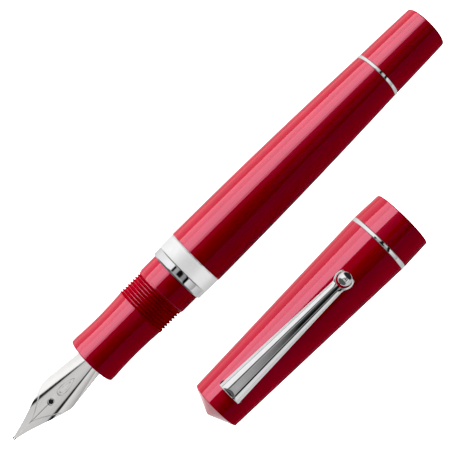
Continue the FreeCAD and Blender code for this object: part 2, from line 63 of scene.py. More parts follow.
def cap_matrix():
    """Where the cap lies: its apex, its axis, and its roll towards the pen."""
    apex = ends("cap_tube")[0].x
    ring_low, ring_high = ends("cap_ring")
    axis = next(joint["axis"] for joint in frame["joints"] if joint["name"] == "roller_spin")
    middle = (ring_low + ring_high) / 2
    roll = math.atan2(axis[2], axis[1])
    return Matrix.Translation((apex, middle.y, middle.z)) @ Matrix.Rotation(roll, 4, "X")


CAP = cap_matrix()
PEN = Matrix.Identity(4)
FLOOR = ends("cap_ring")[0].z

# ---------------------------------------------------------------- meshes


def smooth_over(mesh, sharp):
    """Joins points that coincide and shades the mesh smooth, except at edges above an angle."""
    shell = bmesh.new()
    shell.from_mesh(mesh)
    bmesh.ops.remove_doubles(shell, verts=shell.verts, dist=1e-7)
    bmesh.ops.recalc_face_normals(shell, faces=shell.faces)
    for face in shell.faces:
        face.smooth = True
    for edge in shell.edges:
        edge.smooth = len(edge.link_faces) == 2 and edge.calc_face_angle(0) < math.radians(sharp)
    shell.to_mesh(mesh)
    shell.free()


def new_object(name, verts, faces, place=PEN, sharp=SHARP):
    """A mesh from points in millimetres, smooth except at edges sharper than the given angle."""
    mesh = bpy.data.meshes.new(name)
    mesh.from_pydata([tuple(v) for v in verts], [], [tuple(f) for f in faces])
    mesh.transform(Matrix.Scale(MM, 4) @ place)
    smooth_over(mesh, sharp)
    piece = bpy.data.objects.new(name, mesh)
    bpy.context.scene.collection.objects.link(piece)
    return piece


def fillet(before, corner, after, radius):
    """Points of a round of the given radius in place of a corner. It takes less than half of each side."""
    steps, most = 6, 0.49
    to_before = (before - corner).normalized()
    to_after = (after - corner).normalized()
    half = to_before.angle(to_after) / 2
    reach = min(radius / math.tan(half), most * (before - corner).length, most * (after - corner).length)
    radius = reach * math.tan(half)
    centre = corner + (to_before + to_after).normalized() * (radius / math.sin(half))
    start = corner + to_before * reach - centre
    finish = corner + to_after * reach - centre
    turn = math.atan2(start.x * finish.y - start.y * finish.x, start.dot(finish))
    points = []
    for step in range(steps + 1):
        angle = turn * step / steps
        points.append(centre + Vector((start.x * math.cos(angle) - start.y * math.sin(angle),
                                       start.x * math.sin(angle) + start.y * math.cos(angle))))
    return points


def profile(corners):
    """A lathe profile. Each corner is (x, radius), then if wanted the radius of its round, and how far
    the line to the next corner bows outwards."""
    places = [Vector(corner[:2]) for corner in corners]
    points = []
    for index, corner in enumerate(corners):
        place = places[index]
        following = places[(index + 1) % len(places)]
        if len(corner) > 2 and corner[2]:
            points += fillet(places[index - 1], place, following, corner[2])
        else:
            points.append(place)
        if len(corner) > 3:
            steps = 40
            start = points[-1]
            line = following - start
            out = Vector((-line.y, line.x)).normalized()
            for step in range(1, steps):
                share = step / steps
                points.append(start + line * share + out * corner[3] * 4 * share * (1 - share))
    return points


def thread_rows(start, end, crest, pitch):
    """Profile points along a thread, closely spaced if it runs towards +X."""
    rows_per_turn = 16
    count = max(2, int((end - start) / pitch * rows_per_turn))
    return [(start + (end - start) * step / count, crest) for step in range(count + 1)]


def thread_cut(x, angle, thread):
    """How deep a right-hand thread is cut at a place along it and around it. The widths of crest, flank
    and run-out are shares of its pitch."""
    start, end, pitch, depth = thread
    crest_half, flank_width, run_out_length = 0.1, 0.22, 0.6
    if not start < x < end:
        return 0.0
    share = ((x - start) / pitch - angle / (2 * math.pi)) % 1
    off_crest = min(share, 1 - share)
    flank = min(max((off_crest - crest_half) / flank_width, 0), 1)
    run_out = min((x - start) / (run_out_length * pitch), (end - x) / (run_out_length * pitch), 1)
    return depth * flank * run_out


def lathe(name, points, place=PEN, around=192, thread=None):
    """A closed profile turned about X. A point on the axis becomes one pole. A thread is cut into every
    point between its start and its end, inside ones too."""
    verts = []
    rings = []
    for x, radius in points:
        if radius < 1e-6:
            rings.append([len(verts)] * around)
            verts.append((x, 0, 0))
            continue
        rings.append(list(range(len(verts), len(verts) + around)))
        for step in range(around):
            angle = 2 * math.pi * step / around
            r = radius - (thread_cut(x, angle, thread) if thread else 0)
            verts.append((x, r * math.cos(angle), r * math.sin(angle)))
    faces = []
    for index, ring in enumerate(rings):
        other = rings[(index + 1) % len(rings)]
        for step in range(around):
            after = (step + 1) % around
            corners = [ring[step], ring[after], other[after], other[step]]
            face = [v for place_in, v in enumerate(corners) if v not in corners[:place_in]]
            if len(face) > 2:
                faces.append(face)
    return new_object(name, verts, faces, place)


# ---------------------------------------------------------------- materials


class Nodes:
    """A short way to write a material's node tree."""

    def __init__(self, name):
        self.material = bpy.data.materials.new(name)
        self.material.use_nodes = True
        self.tree = self.material.node_tree
        self.shader = self.tree.nodes["Principled BSDF"]

    def add(self, kind, **values):
        """A new node, with values for its inputs or settings."""
        node = self.tree.nodes.new(kind)
        for key, value in values.items():
            if key in node.inputs:
                node.inputs[key].default_value = value
            else:
                setattr(node, key, value)
        return node

    def link(self, source, target):
        self.tree.links.new(source, target)

    def set(self, **values):
        """Sets inputs of the shader. An underscore stands for a space in an input's name."""
        for key, value in values.items():
            self.shader.inputs[key.replace("_", " ")].default_value = value

    def noise(self, scale, detail=3, stretch=(1, 1, 1)):
        """Noise in object space, drawn out along an axis by a small stretch factor there."""
        place = self.add("ShaderNodeTexCoord")
        mapping = self.add("ShaderNodeMapping")
        mapping.inputs["Scale"].default_value = stretch
        self.link(place.outputs["Object"], mapping.inputs["Vector"])
        noise = self.add("ShaderNodeTexNoise", Scale=scale, Detail=detail)
        self.link(mapping.outputs["Vector"], noise.inputs["Vector"])
        return noise.outputs["Fac"]

    def ramp(self, source, low, high):
        """Maps noise, which is mostly between 0.3 and 0.7, to a range of numbers."""
        change = self.add("ShaderNodeMapRange")
        change.inputs["From Min"].default_value = 0.3
        change.inputs["From Max"].default_value = 0.7
        change.inputs["To Min"].default_value = low
        change.inputs["To Max"].default_value = high
        self.link(source, change.inputs["Value"])
        return change.outputs["Result"]

    def mix(self, factor, low, high):
        """A colour between two, by a factor."""
        blend = self.add("ShaderNodeMix", data_type="RGBA")
        blend.inputs[6].default_value = (*low, 1)
        blend.inputs[7].default_value = (*high, 1)
        self.link(factor, blend.inputs[0])
        return blend.outputs[2]

    def bump(self, height, distance, strength):
        """Fine relief in the shading. The distance is in metres."""
        bump = self.add("ShaderNodeBump")
        bump.inputs["Strength"].default_value = strength
        bump.inputs["Distance"].default_value = distance
        self.link(height, bump.inputs["Height"])
        self.link(bump.outputs["Normal"], self.shader.inputs["Normal"])


def resin():
    """Deep red polished resin with faint clouding in its colour and polish."""
    nodes = Nodes("red_resin")
    clouds = nodes.noise(220, 4, (0.35, 1, 1))
    colour = nodes.mix(nodes.ramp(clouds, 0, 1), (0.096, 0.0005, 0.0042), (0.108, 0.0009, 0.0056))
    nodes.link(colour, nodes.shader.inputs["Base Color"])
    nodes.link(nodes.ramp(nodes.noise(900, 3), 0.012, 0.03), nodes.shader.inputs["Roughness"])
    nodes.bump(nodes.noise(2600, 2), 0.000004, 0.25)
    nodes.set(IOR=1.4, Specular_Tint=(1.0, 0.42, 0.56, 1))
    return nodes.material


def metal(name, colour, low_roughness, high_roughness, grain=900, stretch=(1, 1, 1), metallic=1.0):
    """Metal whose polish varies with fine grain."""
    nodes = Nodes(name)
    grains = nodes.noise(grain, 4, stretch)
    dark = tuple(channel * 0.95 for channel in colour)
    nodes.link(nodes.mix(nodes.ramp(grains, 0, 1), dark, colour), nodes.shader.inputs["Base Color"])
    nodes.link(nodes.ramp(grains, low_roughness, high_roughness), nodes.shader.inputs["Roughness"])
    nodes.bump(grains, 0.000002, 0.3)
    nodes.set(Metallic=metallic)
    return nodes.material


def plastic(name, colour, roughness, grain=1500, specular=0.5):
    """Plastic with a fine grain in its colour and finish."""
    nodes = Nodes(name)
    grains = nodes.noise(grain, 3)
    light = tuple(min(1, channel * 1.25 + 0.002) for channel in colour)
    nodes.link(nodes.mix(nodes.ramp(grains, 0, 1), colour, light), nodes.shader.inputs["Base Color"])
    nodes.link(nodes.ramp(grains, roughness * 0.8, roughness * 1.2), nodes.shader.inputs["Roughness"])
    nodes.bump(grains, 0.000008, 0.3)
    nodes.set(Specular_IOR_Level=specular)
    return nodes.material


def clear():
    """Clear plastic with a faintly uneven polish."""
    nodes = Nodes("clear_plastic")
    nodes.set(Base_Color=(0.92, 0.95, 0.96, 1), IOR=1.49, Transmission_Weight=1.0)
    nodes.link(nodes.ramp(nodes.noise(700, 2), 0.02, 0.06), nodes.shader.inputs["Roughness"])
    return nodes.material


RESIN = resin()
# Darker, matte resin for the flanks and roots of the grip's thread: painted shade in the grooves, in place
# of their shadow.
GROOVE_PAINTED_SHADE = plastic("resin_groove_painted_shade", (0.085, 0.0005, 0.003), 0.45, 900, specular=0.0)
POLISHED = metal("polished_metal", (0.9, 0.9, 0.91), 0.012, 0.035)
SATIN = metal("satin_metal", (0.98, 0.975, 0.975), 0.46, 0.52, 600, (40, 1, 1), metallic=0.975)
STEEL = metal("nib_steel", (0.96, 0.945, 0.93), 0.05, 0.09, 1800, (0.3, 1, 1))
TIPPING = metal("tipping_alloy", (0.34, 0.33, 0.32), 0.2, 0.3, 4000)
BRASS = metal("brass", (0.78, 0.56, 0.26), 0.15, 0.3, 900, (8, 1, 1))
BLACK = plastic("black_plastic", (0.012, 0.012, 0.013), 0.35)
LINER = plastic("liner_plastic", (0.02, 0.02, 0.021), 0.5)
PALE = plastic("pale_plastic", (0.6, 0.6, 0.58), 0.3)
RUBBER = plastic("seal_rubber", (0.015, 0.015, 0.015), 0.6)
CLEAR = clear()


def dress(piece, material):
    """Gives a piece one material."""
    piece.data.materials.clear()
    piece.data.materials.append(material)


def settle(piece, body, node, material):
    """A finished piece: its material, the body it rides on and the CAD node it stands for."""
    dress(piece, material)
    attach(piece, body)
    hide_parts(node)
    return piece


# ---------------------------------------------------------------- pen

BEAD_REAR = ends("band_bead")[1].x
BEAD_RADIUS = 7.0
BAND_REAR = ends("centre_band")[1].x
BAND_RADIUS = ends("centre_band")[1].z
BARREL_REAR = ends("barrel")[1].x
BARREL_TAIL = 5.9
TAIL_RING_REAR = ends("tail_ring")[1].x
TAIL_END = ends("tail_cap")[1].x
COLLAR = ends("section")[1].z
GRIP_FRONT = ends("section")[0].x


def make_barrel():
    """Barrel, the bead at its mouth, and the satin band, which has a polished rim at its rear."""
    spigot, bore, bush_seat, bush_rear, socket, socket_front = 6.25, 4.6, 5.95, 9.0, 5.0, 53.0
    mouth, bow = 7.18, 0.255
    front = ends("barrel")[0].x
    shell = lathe("barrel_shell", profile([
        (front, bush_seat), (front, spigot), (BAND_REAR, spigot),
        (BAND_REAR, mouth, 0.08, bow), (BARREL_REAR, BARREL_TAIL, 0.06),
        (BARREL_REAR, socket), (socket_front, socket), (socket_front, bore),
        (bush_rear, bore), (bush_rear, bush_seat)]))
    settle(shell, "barrel", "barrel", RESIN)
    trim_bore, lip_rear, lip_bore = 6.27, 0.4, 5.97
    bead = lathe("bead", profile([
        (0, lip_bore), (0, BEAD_RADIUS, 0.85), (BEAD_REAR, BEAD_RADIUS, 0.22), (BEAD_REAR, trim_bore),
        (lip_rear, trim_bore), (lip_rear, lip_bore)]))
    settle(bead, "barrel", "band_bead", POLISHED)
    rim_front, groove = BAND_REAR - 0.28, 7.08
    band = lathe("band", profile([
        (BEAD_REAR, trim_bore), (BEAD_REAR, 7.06, 0.09), (rim_front, 7.115, 0.03),
        (rim_front + 0.05, groove, 0.03), (rim_front + 0.1, BAND_RADIUS, 0.05),
        (BAND_REAR, BAND_RADIUS, 0.08), (BAND_REAR, trim_bore)]))
    settle(band, "barrel", "centre_band", SATIN)
    band.data.materials.append(POLISHED)
    for face in band.data.polygons:
        if face.center.x > (rim_front + 0.03) * MM:
            face.material_index = 1


def make_tail():
    """The ring near the tail, and the tail cap with the thread on its spigot."""
    ring_bore, spigot, spigot_front, bore, bore_rear = 4.92, 4.9, 54.0, 4.05, 76.0
    ring_radius, ring_round = ends("tail_ring")[1].z, 0.12
    ring = lathe("tail_trim", profile([
        (BARREL_REAR, ring_bore), (BARREL_REAR, ring_radius, ring_round),
        (TAIL_RING_REAR, ring_radius, ring_round), (TAIL_RING_REAR, ring_bore)]))
    settle(ring, "tail_ring", "tail_ring", POLISHED)
    thread_start, thread_end, pitch, depth = 54.3, 61.6, 1.0, 0.25
    outline = profile([(spigot_front, bore), (spigot_front, spigot - depth), (thread_start, spigot)])
    outline += thread_rows(thread_start, thread_end, spigot, pitch)
    outline += profile([
        (TAIL_RING_REAR, spigot), (TAIL_RING_REAR, 5.87, 0.05, 0.035), (TAIL_END - 0.34, 5.4, 0.42, 0),
        (TAIL_END - 0.02, 1.6, 6.0), (TAIL_END, 0)])
    outline += profile([(bore_rear, 0), (bore_rear, bore)])
    tail = lathe("blind_cap", outline, thread=(thread_start, thread_end, pitch, depth))
    settle(tail, "tail_cap", "tail_cap", RESIN)


def make_section():
    """Grip with its flared lip, the cap's thread and the collar. The barrel's thread isn't drawn."""
    seat, bore, housing_rear, joint, joint_rear = 4.25, 4.0, -8.0, 5.3, 8.0
    joint_root, relief, relief_rear = joint - 0.3, 4.95, 0.8
    thread_start, thread_end, crest, pitch, depth = -10.97, -4.88, 6.33, 0.76, 0.38
    outline = profile([
        (GRIP_FRONT, seat, 0.15), (GRIP_FRONT, 6.06, 0.28), (-24.97, 6.11, 0.5, -0.26),
        (-11.3, 6.17), (thread_start, crest - 0.12)])
    outline += thread_rows(thread_start, thread_end, crest, pitch)
    outline += profile([
        (thread_end, COLLAR, 0.06), (0, COLLAR, 0.1), (0, relief), (relief_rear, relief),
        (relief_rear, joint_root)])
    outline += thread_rows(0.9, 7.5, joint, 0.75)
    outline += profile([
        (joint_rear, joint_root), (joint_rear, bore), (housing_rear, bore), (housing_rear, seat)])
    section = lathe("grip_section", outline, around=240,
                    thread=(thread_start, thread_end, pitch, depth))
    settle(section, "section", "section", RESIN)
    # Faces below the thread's crest take the darker matte resin: painted shade in the grooves.
    section.data.materials.append(GROOVE_PAINTED_SHADE)
    for face in section.data.polygons:
        middle = face.center / MM
        if thread_start < middle.x < thread_end and math.hypot(middle.y, middle.z) < crest - 0.01:
            face.material_index = 1


# ---------------------------------------------------------------- nib

NIB_ROOT = -26.3
NIB_RADIUS = 3.3
NIB_SHEET = 0.35
NIB_FRONT = -49.75
CONE_END, CONE_END_RADIUS, CONE_END_DROP = -50.8, 12.0, 10.84
SHOULDER, TINE = -36.9, -43.9
ROOT_HALF, SHOULDER_HALF, TINE_HALF, POINT_HALF = 3.2, 4.36, 2.0, 0.4
BREATHER, BREATHER_RADIUS = -38.5, 0.58


def nib_half_width(x):
    """Half of the nib's width in plan, shoulders rounded, then sides that bulge and then hollow."""
    rounding, rounded_length, bulge, hollow = 0.10, 1.2, 0.14, 0.10
    if x > SHOULDER:
        share = min(1, (NIB_ROOT - x) / (NIB_ROOT - SHOULDER)) if x < NIB_ROOT else 0
        width = ROOT_HALF + (SHOULDER_HALF - ROOT_HALF) * share
        corner = max(0, 1 - (x - SHOULDER) / rounded_length)
        return width - rounding * corner ** 2
    if x > TINE:
        share = (SHOULDER - x) / (SHOULDER - TINE)
        straight = SHOULDER_HALF - rounding + (TINE_HALF - SHOULDER_HALF + rounding) * share
        return straight + bulge * math.sin(math.pi * share) * (1 - 0.9 * share)
    share = (TINE - x) / (TINE - NIB_FRONT)
    return TINE_HALF + (POINT_HALF - TINE_HALF) * share - hollow * math.sin(math.pi * share)


def nib_cone(x):
    """Radius of the nib's outer face and the height of its centre at x."""
    share = max(0, (NIB_ROOT - x) / (NIB_ROOT - CONE_END))
    return NIB_RADIUS + (CONE_END_RADIUS - NIB_RADIUS) * share, -CONE_END_DROP * share


def engraving(x, y):
    """Depth of the fine lines cut into the nib: a chevron from both shoulders, the two outlines of a
    plain leaf, and a ring around the breather hole."""
    deepest, chevron_line, leaf_depth, ring_radius, ring_line = 0.03, 0.055, 0.8, 0.74, 0.06
    y = abs(y)
    share = np.linspace(0, 1, 60)
    chevron_x = -37.3 - 7.3 * share
    chevron_y = 4.3 * (1 - share) ** 1.25 + 0.12
    chevron = np.min(np.hypot(chevron_x - x, chevron_y - y))
    depth = math.exp(-(chevron / chevron_line) ** 2)
    for middle, half_length, half_width, narrowing, line in (
            (-33.6, 2.5, 0.85, 0.16, 0.06), (-33.9, 1.6, 0.42, 0.08, 0.08)):
        leaf = math.hypot((x - middle) / half_length, y / (half_width - narrowing * (x - middle)))
        depth += leaf_depth * math.exp(-((leaf - 1) / line) ** 2)
    ring = math.hypot(x - BREATHER, y)
    depth += math.exp(-((ring - ring_radius) / ring_line) ** 2)
    return deepest * min(depth, 1)


def make_nib():
    """The nib's bent sheet, with its engraving, and the breather hole and the slit cut through it."""
    rear = ends("nib")[1].x
    stations = list(np.linspace(rear, NIB_ROOT, 12)) + list(np.linspace(NIB_ROOT, NIB_FRONT, 420))[1:]
    across = np.linspace(-1, 1, 161)
    verts = []
    for inset in (0, NIB_SHEET):
        for x in stations:
            radius, centre = nib_cone(x)
            reach = math.asin(min(0.97, nib_half_width(x) / radius))
            for share in across:
                angle = share * reach
                y = radius * math.sin(angle)
                r = radius - (inset or engraving(x, y))
                verts.append((x, r * math.sin(angle), centre + r * math.cos(angle)))
    rows, columns = len(stations), len(across)

    def at(side, row, column):
        return side * rows * columns + row * columns + column

    faces = []
    for side in (0, 1):
        for row in range(rows - 1):
            for column in range(columns - 1):
                faces.append([at(side, row, column), at(side, row, column + 1),
                              at(side, row + 1, column + 1), at(side, row + 1, column)])
    for column in range(columns - 1):
        for row in (0, rows - 1):
            faces.append([at(0, row, column), at(0, row, column + 1),
                          at(1, row, column + 1), at(1, row, column)])
    for row in range(rows - 1):
        for column in (0, columns - 1):
            faces.append([at(0, row, column), at(0, row + 1, column),
                          at(1, row + 1, column), at(1, row, column)])
    nib = new_object("nib_blade", verts, faces)
    hole = lathe("breather_cutter", [
        Vector((-2, 0)), Vector((-2, BREATHER_RADIUS)), Vector((6, BREATHER_RADIUS)), Vector((6, 0))],
        Matrix.Translation((BREATHER, 0, 0)) @ Matrix.Rotation(-math.pi / 2, 4, "Y"), around=64)
    cut_away(nib, hole)
    stations = ((CONE_END, 0.004), (-45.5, 0.004), (-45.2, 0.05), (BREATHER, 0.07))
    verts = [(x, y, z) for x, half in stations
             for y, z in ((-half, -2), (-half, 6), (half, 6), (half, -2))]
    faces = [(0, 1, 2, 3), tuple(range(len(verts) - 4, len(verts)))]
    for row in range(0, len(verts) - 4, 4):
        faces += [(row + i, row + (i + 1) % 4, row + 4 + (i + 1) % 4, row + 4 + i) for i in range(4)]
    slit = new_object("slit_cutter", verts, faces)
    cut_away(nib, slit)
    settle(nib, "section", "nib", STEEL)


def cut_away(piece, cutter):
    """Cuts one mesh from another and removes the cutter."""
    boolean = piece.modifiers.new("cut", "BOOLEAN")
    boolean.object = cutter
    boolean.operation = "DIFFERENCE"
    boolean.solver = "EXACT"
    graph = bpy.context.evaluated_depsgraph_get()
    cut = bpy.data.meshes.new_from_object(piece.evaluated_get(graph))
    smooth_over(cut, SHARP)
    piece.modifiers.clear()
    piece.data = cut
    bpy.data.objects.remove(cutter)


# ---------------------------------------------------------------- cap

def make_cap():
    """The cap's tube, with its inside steps and the clip's slot, and its ring. No inside thread is drawn."""
    mouth, ring_front, ring_rear, ring_radius, ring_bore = 60.57, 52.5, 53.5, 7.745, 7.32
    seat, mouth_bore, step, thread_front, thread_rear, thread_bore = 7.3, 6.65, 6.42, 49.4, 55.0, 6.6
    liner_bore, liner_rear, liner_front, clip_bore, crown = 6.35, 49.1, 34.0, 5.3, 5.6
    outline = profile([
        (0, 0), (0.12, 0.55, 0.3), (2.68, 6.13, 0.3, 0.0), (ring_front, 7.71), (ring_front, seat),
        (ring_rear, seat), (ring_rear, 7.72), (mouth, 7.44, 0.3), (mouth, mouth_bore, 0.12),
        (55.67, mouth_bore), (55.67, step)])
    outline += thread_rows(thread_rear, thread_front, thread_bore, 0.7)
    outline += profile([
        (liner_rear, step), (liner_rear, liner_bore), (liner_front, liner_bore), (liner_front, clip_bore),
        (crown, clip_bore), (crown, 0)])
    shell = lathe("cap_shell", outline, CAP, around=240)
    slot_middle, slot_reach, slot_half, slot_round = 7.75, 0.85, 3.05, 0.8
    rim = []
    for side_x, side_y, start in ((1, 1, 0), (-1, 1, 90), (-1, -1, 180), (1, -1, 270)):
        for step in range(9):
            angle = math.radians(start + 90 * step / 8)
            rim.append((slot_middle + side_x * (slot_reach - slot_round) + slot_round * math.cos(angle),
                        side_y * (slot_half - slot_round) + slot_round * math.sin(angle)))
    count = len(rim)
    verts = [(x, y, z) for z in (4.6, 7.5) for x, y in rim]
    faces = [tuple(range(count)), tuple(range(count, 2 * count))]
    faces += [(i, (i + 1) % count, count + (i + 1) % count, count + i) for i in range(count)]
    slot = new_object("slot_cutter", verts, faces, CAP)
    cut_away(shell, slot)
    settle(shell, "cap", "cap_tube", RESIN)
    ring = lathe("cap_trim", profile([
        (ring_front, ring_bore), (ring_front, ring_radius, 0.2), (ring_rear, ring_radius, 0.2),
        (ring_rear, ring_bore)]), CAP)
    settle(ring, "cap", "cap_ring", POLISHED)


CLIP_FRONT, NECK, YOKE, PRONG_END = 7.0, 38.9, 41.7, 43.1
CLIP_HALF, NECK_HALF, YOKE_OUTER, YOKE_INNER = 2.8, 1.5, 2.15, 1.78
ROLLER_X, ROLLER_Z, ROLLER_RADIUS = 42.0, 9.02, 1.54
# How far the clip's upper face falls, from its middle (0) to its edge (1), where it is widest.
CAMBER = ([0, 0.2, 0.3, 0.38, 0.5, 0.78, 0.815, 0.87, 0.9, 0.93, 1.0],
          [0, 0.02, 0.048, 0.094, 0.199, 0.505, 0.525, 0.585, 0.669, 0.669, 0.746])


def soft_max(a, b, blend):
    """The larger of two numbers, with a soft change from one to the other."""
    gap = max(blend - abs(a - b), 0) / blend
    return max(a, b) + gap * gap * blend / 4


def clip_outer(x):
    """Half of the clip's width: a taper, then a ring around the roller."""
    taper = NECK_HALF + (CLIP_HALF - NECK_HALF) * max(0, (NECK - x) / (NECK - CLIP_FRONT))
    ring = math.sqrt(max(0, YOKE_OUTER ** 2 - (x - YOKE) ** 2))
    if x > YOKE:
        return ring
    return soft_max(taper, ring, 0.5)


def clip_inner(x):
    """Half of the gap in the yoke, where the roller sits."""
    return math.sqrt(max(0, YOKE_INNER ** 2 - (x - YOKE) ** 2))


def clip_line(x, front, rear):
    """A height that rises evenly from the clip's wide end to its yoke."""
    return front + (rear - front) * (x - CLIP_FRONT) / (PRONG_END - CLIP_FRONT)


def clip_top(x, share):
    """Height of the clip's upper face: a camber with bevelled flanks, a lip and a hollow at the wide end,
    and a rounded section around the yoke. The share is 0 in the middle and 1 at the edge."""
    lip, hollow_half, hollow_depth, fall, round_depth = 0.16, 0.66, 0.28, 0.35, 0.34
    width = clip_outer(x) / CLIP_HALF
    camber = float(np.interp(share, *CAMBER)) * width
    into = x - CLIP_FRONT
    reach = max(0.01, 1 - (share / hollow_half) ** 2)
    place = max(0, into - lip) / reach
    hollow = hollow_depth * reach * max(0, min(place / fall, (1 - place) / 0.65))
    rounded = round_depth * (2 * share - 1) ** 2 if x > YOKE - YOKE_INNER else round_depth * share ** 2
    ring = min(1, max(0, (x - NECK) / 1.0))
    ring = ring * ring * (3 - 2 * ring)
    end = 0.25 * max(0, 1 - (PRONG_END - x) / 0.35) ** 2 + 0.1 * max(0, 1 - into / 0.04) ** 2
    end += 0.1 * max(0, lip - into)
    return clip_line(x, 7.5, 9.56) - (camber + hollow) * (1 - ring) - rounded * ring - end


def make_clip():
    """The clip's bar, the tang that goes into the cap, and the roller."""
    start = YOKE - YOKE_INNER
    fine = 1.6
    stations = list(CLIP_FRONT + fine * np.linspace(0, 1, 28))
    stations += list(np.linspace(CLIP_FRONT + fine, start, 90))[1:]
    stations += [YOKE - YOKE_INNER * math.cos(angle) for angle in
                 np.linspace(0, math.acos(-(PRONG_END - YOKE) / YOKE_INNER), 48)][1:]
    shares = sorted(set(list(np.linspace(0, 1, 41)) + CAMBER[0]))
    verts = []
    faces = []
    for side in (-1, 1):
        base = len(verts)
        for face in (0, 1):
            for x in stations:
                inner, outer = clip_inner(x), clip_outer(x)
                for share in shares:
                    z = clip_line(x, 6.62, 8.62) if face else clip_top(x, share)
                    verts.append((x, side * (inner + (outer - inner) * share), z))
        rows, columns = len(stations), len(shares)

        def at(face, row, column):
            return base + face * rows * columns + row * columns + column

        for row in range(rows - 1):
            for column in range(columns - 1):
                for face in (0, 1):
                    faces.append([at(face, row, column), at(face, row, column + 1),
                                  at(face, row + 1, column + 1), at(face, row + 1, column)])
            faces.append([at(0, row, columns - 1), at(0, row + 1, columns - 1),
                          at(1, row + 1, columns - 1), at(1, row, columns - 1)])
            if stations[row] >= start - 1e-9:
                faces.append([at(0, row, 0), at(0, row + 1, 0), at(1, row + 1, 0), at(1, row, 0)])
        for column in range(columns - 1):
            for row in (0, rows - 1):
                faces.append([at(0, row, column), at(0, row, column + 1),
                              at(1, row, column + 1), at(1, row, column)])
    facet_angle = 3.3
    clip = new_object("clip_bar", verts, faces, CAP, sharp=facet_angle)
    settle(clip, "clip", "clip", POLISHED)
    tang_verts = [(x, y, z) for x in (7.2, 8.3) for y in (-2.6, 2.6) for z in (5.38, 6.7)]
    tang = new_object("clip_tang", tang_verts, [
        (0, 1, 3, 2), (4, 6, 7, 5), (0, 4, 5, 1), (2, 3, 7, 6), (0, 2, 6, 4), (1, 5, 7, 3)], CAP)
    dress(tang, POLISHED)
    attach(tang, "clip")
    flat, dimple, axle_bore = 0.24, 0.12, 0.37
    points = [(ROLLER_RADIUS * math.cos(a), ROLLER_RADIUS * math.sin(a))
              for a in np.linspace(math.pi - flat, flat, 60)]
    points += [(points[-1][0] - dimple, axle_bore), (points[0][0] + dimple, axle_bore)]
    turn = Matrix.Translation((ROLLER_X, 0, ROLLER_Z)) @ Matrix.Rotation(math.pi / 2, 4, "Z")
    roller = lathe("roller_ball", points, CAP @ turn, around=96)
    settle(roller, "roller", "clip_roller", POLISHED)


make_barrel()
make_tail()
make_section()
make_nib()
make_cap()
make_clip()

CARRIED = {
    "barrel_bush": BRASS, "nib_housing": BLACK, "feed": BLACK, "nib_tipping": TIPPING,
    "converter_tube": CLEAR, "converter_ferrule": POLISHED, "converter_knob": BLACK,
    "piston_rod": PALE, "piston_seal": RUBBER, "inner_cap": LINER, "roller_axle": POLISHED}
for node, material in CARRIED.items():
    dress(frame["nodes"][node], material)
    for face in frame["nodes"][node].data.polygons:
        face.use_smooth = True

# ---------------------------------------------------------------- light, floor and camera

MIDDLE_X = 15.6
BLACK_LEVEL = 0.01


